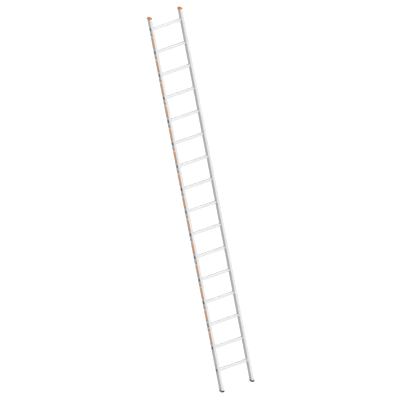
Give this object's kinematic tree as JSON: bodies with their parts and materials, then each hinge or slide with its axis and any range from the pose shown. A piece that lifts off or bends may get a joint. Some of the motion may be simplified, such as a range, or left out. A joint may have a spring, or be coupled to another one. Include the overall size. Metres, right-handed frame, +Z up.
{
  "type": "leaning ladder",
  "caption": "Long single-section aluminium leaning ladder: box stiles, hollow rungs swaged through them, plastic top caps, rubber feet and side label strips.",
  "frame": {"origin": "midway between the two soles, on the surface that they stand on", "axes": "+Z up the ladder from the feet to the top caps, X across it from one stile to the other, -Y the front that faces the climber"},
  "size_m": [0.43, 0.073, 4.612],
  "materials": {
    "stile_aluminium": "mill-finish extrusion with fine lengthwise die lines",
    "rung_aluminium": "mill-finish extrusion, grooved treads brightened by boots",
    "rivet_aluminium": "plain domed blind rivet",
    "cap_plastic": "moulded, finely grained orange plastic",
    "label_film": "printed orange adhesive film, without lettering",
    "foot_rubber": "dull black moulded rubber, scuffed at the sole"
  },
  "bodies": {
    "root": {"left_stile": "stile_aluminium", "left_foot": "foot_rubber", "left_top_cap": "cap_plastic", "left_foot_rivet_outer": "rivet_aluminium", "left_foot_rivet_inner": "rivet_aluminium", "left_label_02": "label_film", "left_label_03": "label_film", "left_label_04": "label_film", "left_label_05": "label_film", "left_label_06": "label_film", "left_label_07": "label_film", "left_label_08": "label_film", "left_label_09": "label_film", "left_label_10": "label_film", "left_label_11": "label_film", "left_label_12": "label_film", "left_label_13": "label_film", "left_label_14": "label_film", "left_label_15": "label_film", "right_stile": "stile_aluminium", "right_foot": "foot_rubber", "right_top_cap": "cap_plastic", "right_foot_rivet_outer": "rivet_aluminium", "right_foot_rivet_inner": "rivet_aluminium", "right_label_02": "label_film", "right_label_03": "label_film", "right_label_04": "label_film", "right_label_05": "label_film", "right_label_06": "label_film", "right_label_07": "label_film", "right_label_08": "label_film", "right_label_09": "label_film", "right_label_10": "label_film", "right_label_11": "label_film", "right_label_12": "label_film", "right_label_13": "label_film", "right_label_14": "label_film", "right_label_15": "label_film", "rung_01": "rung_aluminium", "rung_02": "rung_aluminium", "rung_03": "rung_aluminium", "rung_04": "rung_aluminium", "rung_05": "rung_aluminium", "rung_06": "rung_aluminium", "rung_07": "rung_aluminium", "rung_08": "rung_aluminium", "rung_09": "rung_aluminium", "rung_10": "rung_aluminium", "rung_11": "rung_aluminium", "rung_12": "rung_aluminium", "rung_13": "rung_aluminium", "rung_14": "rung_aluminium", "rung_15": "rung_aluminium", "rung_16": "rung_aluminium"}
  },
  "joints": []
}
